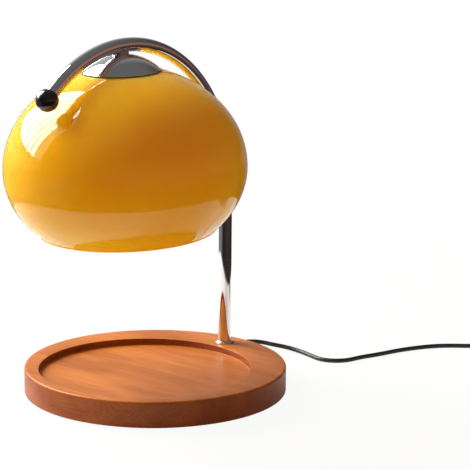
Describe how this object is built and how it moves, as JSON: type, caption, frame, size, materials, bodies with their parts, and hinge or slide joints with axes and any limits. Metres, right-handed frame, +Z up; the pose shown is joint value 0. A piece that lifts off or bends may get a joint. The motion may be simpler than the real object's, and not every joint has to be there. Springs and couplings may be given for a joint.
{
  "type": "candle warmer lamp",
  "caption": "Candle warmer lamp: a round wooden base with a recess, an arched chrome tube and a hanging glass shade with a halogen bulb, with a cord, dimmer and plug.",
  "frame": {"origin": "centre of the underside of the base, on the table", "axes": "+Z up; +Y towards the column at the back of the base; -Y towards the ball at the free end of the tube; +X to the right seen from the ball's side looking along +Y"},
  "size_m": [0.3321, 0.4584, 0.265],
  "materials": {
    "wood": "stained cherry-brown, satin varnish",
    "foam_pad": "matt foam",
    "plate_steel": "matt black",
    "zinc_steel": "zinc plated",
    "chrome": "polished",
    "black_gloss": "gloss",
    "brass": "plain",
    "silicone": "matt",
    "amber_glass": "gloss, cased amber over white",
    "ceramic": "glazed steatite",
    "nickel_pins": "nickel plated",
    "reflector": "faceted mirror",
    "clear_glass": "clear",
    "lead_jacket": "silicone jacket",
    "white_nylon": "satin",
    "black_cord": "semi-gloss",
    "tie_strap": "hook and loop",
    "black_plastic": "fine texture",
    "board": "circuit board",
    "knob_plastic": "satin"
  },
  "bodies": {
    "lamp": {"wood_base": "wood", "base_pad": "foam_pad", "base_plate": "plate_steel", "plate_screws": "zinc_steel", "arm_tube": "chrome", "foot_collar": "chrome", "arm_washer": "zinc_steel", "arm_nut": "zinc_steel", "ball_finial": "black_gloss", "finial_stud": "zinc_steel", "finial_plug": "brass", "neck_saddle": "chrome", "neck_nipple": "zinc_steel", "shade_cap": "chrome", "cap_gasket": "silicone", "glass_shade": "amber_glass", "clamp_gasket": "silicone", "clamp_plate": "zinc_steel", "star_washer": "zinc_steel", "shade_nut": "zinc_steel", "bracket_nut": "zinc_steel", "holder_bracket": "zinc_steel", "lampholder": "ceramic", "holder_screws": "zinc_steel", "arm_leads": "lead_jacket", "terminal_block": "white_nylon", "terminal_screws": "brass", "strain_relief": "black_cord", "cord_clamp": "white_nylon", "clamp_screws": "zinc_steel", "inner_cord": "black_cord", "power_cord": "black_cord", "plug_lead": "black_cord", "cord_tail": "black_cord", "cord_coil": "black_cord", "coil_tie": "tie_strap", "dimmer_lower": "black_plastic", "dimmer_upper": "black_plastic", "dimmer_screws": "zinc_steel", "dimmer_board": "board", "plug_body": "black_plastic", "plug_pins": "brass"},
    "bulb": {"bulb_base": "ceramic", "bulb_pins": "nickel_pins", "bulb_reflector": "reflector", "bulb_glass": "clear_glass", "bulb_capsule": "clear_glass"},
    "knob": {"dimmer_knob": "knob_plastic"}
  },
  "joints": [
    {"name": "bulb_twist", "type": "hinge", "parent": "lamp", "child": "bulb", "pos_m": [0, -0.0305, 0.15], "axis": [0, 0.0558, -0.9984], "range_deg": [0, 40]},
    {"name": "dimmer_turn", "type": "hinge", "parent": "lamp", "child": "knob", "pos_m": [0.1675, 0.301, 0.018], "axis": [0, 0, -1], "range_deg": [0, 280]}
  ]
}
